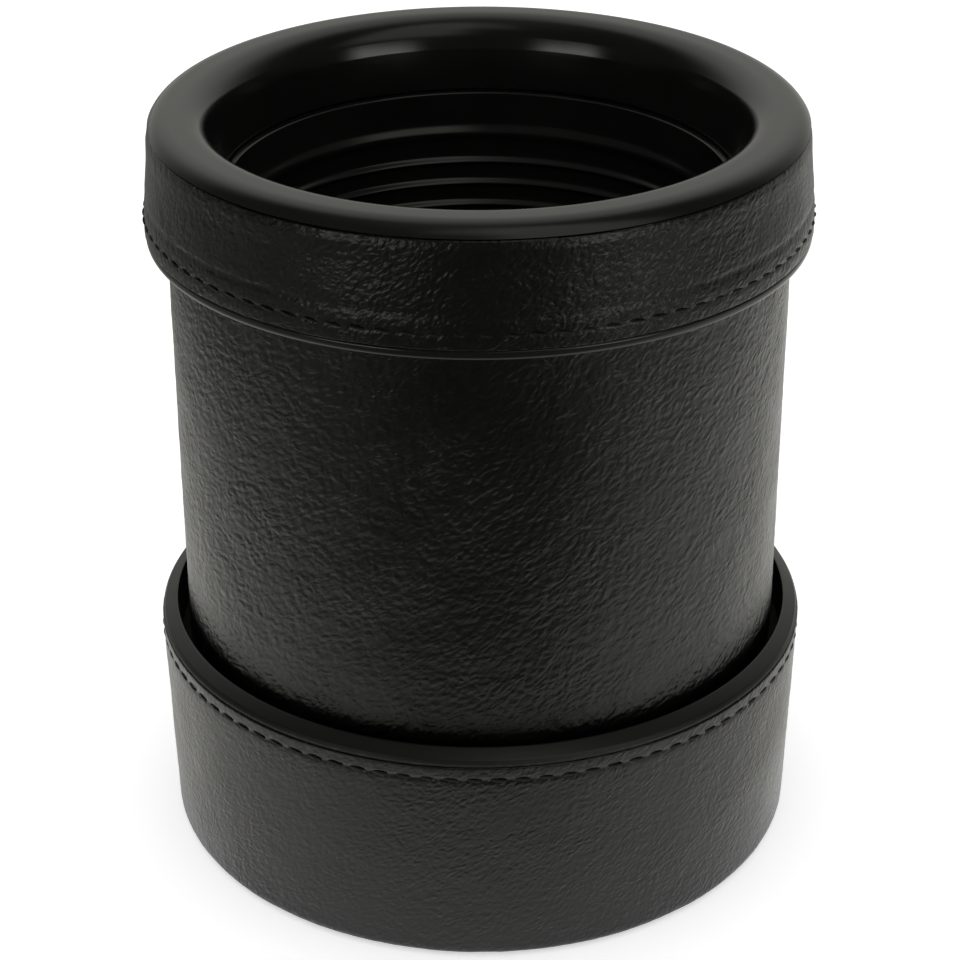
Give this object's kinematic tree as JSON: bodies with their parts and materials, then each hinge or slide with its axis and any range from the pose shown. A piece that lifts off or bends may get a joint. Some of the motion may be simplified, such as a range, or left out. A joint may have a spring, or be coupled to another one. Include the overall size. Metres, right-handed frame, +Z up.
{
  "type": "leather dice cup",
  "caption": "Leatherette dice cup with a rolled mouth ring and ribbed liner, lifting out of a leather-wrapped dice base.",
  "frame": {"origin": "middle of the underside of the base's foot pad", "axes": "+Z up along the axis that everything is turned about and that the cup lifts along; +X to the right and -Y to the viewer"},
  "size_m": [0.0856, 0.0856, 0.0988],
  "materials": {
    "ring_plastic": "satin moulded black",
    "liner_plastic": "glossy moulded black",
    "tray_plastic": "matt moulded black",
    "leather": "black pebble-grained leatherette, semi-gloss",
    "thread": "black waxed thread",
    "felt": "black felt",
    "board": "rolled grey board",
    "foam": "soft foam"
  },
  "bodies": {
    "base": {"base_tray": "tray_plastic", "base_leather": "leather", "base_thread": "thread", "base_floor_felt": "felt", "base_foot_pad": "felt"},
    "cup": {"end_cover": "tray_plastic", "liner": "liner_plastic", "cup_floor_felt": "felt", "padding_sleeve": "foam", "core_tube": "board", "body_leather": "leather", "mouth_ring": "ring_plastic", "collar_leather": "leather", "collar_thread": "thread"}
  },
  "joints": [
    {"name": "cup_lift", "type": "slide", "parent": "base", "child": "cup", "axis": [0, 0, 1], "range_m": [0, 0.05]}
  ]
}
